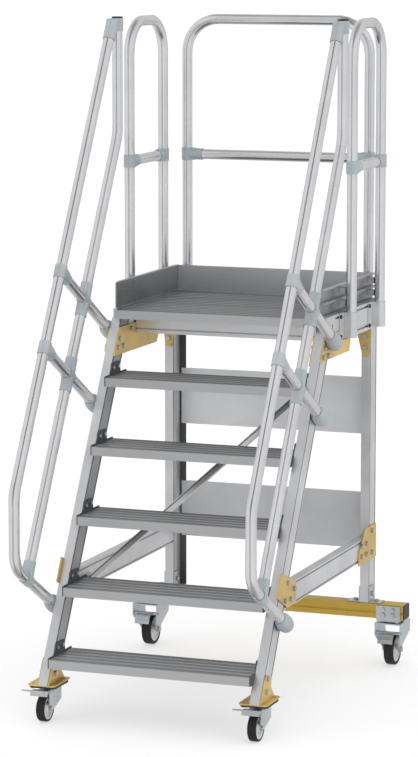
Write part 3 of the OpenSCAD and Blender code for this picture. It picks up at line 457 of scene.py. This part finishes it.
def reflected_tone(tree):
    """What the metal mirrors: two wide soft boxes with a dark gap in front, dimmer overhead and below."""
    way = tree.nodes.new("ShaderNodeTexCoord").outputs["Generated"]
    part = node(tree, "ShaderNodeSeparateXYZ", Vector=way)
    front = maths(tree, "MULTIPLY", part.outputs[1], -1.0)
    azimuth = maths(tree, "ARCTAN2", part.outputs[0], front)
    off_gap = maths(tree, "ABSOLUTE", maths(tree, "SUBTRACT", azimuth, GAP_AT))
    up = maths(tree, "ABSOLUTE", part.outputs[2])
    gap_tone = span(tree, part.outputs[2], -0.1, 0.7, 0.42, 0.10)
    open_side = span(tree, off_gap, HALF_GAP, HALF_GAP + GAP_BLUR)
    box_tone = span(tree, off_gap, 0.4, math.pi, 0.84, 0.62)
    tone = mix(tree, open_side, gap_tone, box_tone)
    dim = span(tree, up, 0.72, 0.96, 1.0, 0.42)
    return mix(tree, 1.0, tone, dim, blend="MULTIPLY")


def make_world():
    """White for the camera, the soft boxes for mirror rays, and an even dome for everything else."""
    world = bpy.data.worlds.new("studio")
    bpy.context.scene.world = world
    world.use_nodes = True
    tree = world.node_tree
    output = tree.nodes["World Output"]
    shown = tree.nodes["Background"]
    shown.inputs["Color"].default_value = (0.985, 0.985, 0.985, 1.0)
    mirrored = node(tree, "ShaderNodeBackground", Color=reflected_tone(tree), Strength=1.0)
    way = tree.nodes.new("ShaderNodeTexCoord").outputs["Generated"]
    side = node(tree, "ShaderNodeVectorMath", operation="DOT_PRODUCT")
    tree.links.new(way, side.inputs[0])
    side.inputs[1].default_value = (0.5, -0.35, 0.79)
    dome = node(tree, "ShaderNodeBackground", Color=span(tree, side.outputs["Value"], -1, 1, 0.62, 1.22),
                Strength=1.0)
    rays = tree.nodes.new("ShaderNodeLightPath")
    light = tree.nodes.new("ShaderNodeMixShader")
    tree.links.new(rays.outputs["Is Glossy Ray"], light.inputs[0])
    tree.links.new(dome.outputs[0], light.inputs[1])
    tree.links.new(mirrored.outputs[0], light.inputs[2])
    joined = tree.nodes.new("ShaderNodeMixShader")
    tree.links.new(rays.outputs["Is Camera Ray"], joined.inputs[0])
    tree.links.new(light.outputs[0], joined.inputs[1])
    tree.links.new(shown.outputs[0], joined.inputs[2])
    tree.links.new(joined.outputs[0], output.inputs["Surface"])


def clear_to_mirrors(material):
    """Lets mirror rays through the floor, so that the metal shows the studio and not a bare floor."""
    tree = material.node_tree
    output = tree.nodes["Material Output"]
    solid = tree.nodes["Principled BSDF"]
    through = tree.nodes.new("ShaderNodeBsdfTransparent")
    joined = tree.nodes.new("ShaderNodeMixShader")
    tree.links.new(tree.nodes.new("ShaderNodeLightPath").outputs["Is Glossy Ray"], joined.inputs[0])
    tree.links.new(solid.outputs[0], joined.inputs[1])
    tree.links.new(through.outputs[0], joined.inputs[2])
    tree.links.new(joined.outputs[0], output.inputs["Surface"])


def glow(material):
    """Lets the floor give off some light of its own, so that the shadow on it stays faint."""
    shader = material.node_tree.nodes["Principled BSDF"]
    shader.inputs["Emission Color"].default_value = (1.0, 1.0, 1.0, 1.0)
    shader.inputs["Emission Strength"].default_value = FLOOR_GLOW


def soft_sun(name, strength, softness, turn):
    """A sun of the given softness and turn in degrees, which the metal doesn't mirror."""
    light = bpy.data.lights.new(name, "SUN")
    light.energy = strength
    light.angle = math.radians(softness)
    lamp = bpy.data.objects.new(name, light)
    lamp.visible_glossy = False
    lamp.rotation_euler = [math.radians(a) for a in turn]
    bpy.context.scene.collection.objects.link(lamp)


def make_camera(place, lens):
    data = bpy.data.cameras.new("camera")
    data.lens = lens
    data.sensor_width = 36
    camera = bpy.data.objects.new("camera", data)
    camera.location = place
    camera.rotation_euler = (math.pi / 2 - CAMERA_PITCH, 0, CAMERA_YAW)
    bpy.context.scene.collection.objects.link(camera)
    bpy.context.scene.camera = camera


floor_paint = surface("floor_paint", (0.46, 0.46, 0.46), 0.0, 0.85, grain_size=60, grain_depth=0.02,
                      tint=0.004, edge_wear_and_highlight=0, crevice_shade=0)
make_floor(floor_paint)
clear_to_mirrors(floor_paint)
glow(floor_paint)
make_world()
soft_sun("key", 0.35, 50, (35, 0, 20))

make_camera((4.0577, -10.9108, 2.919), 150)
bpy.context.scene.view_settings.view_transform = "Standard"
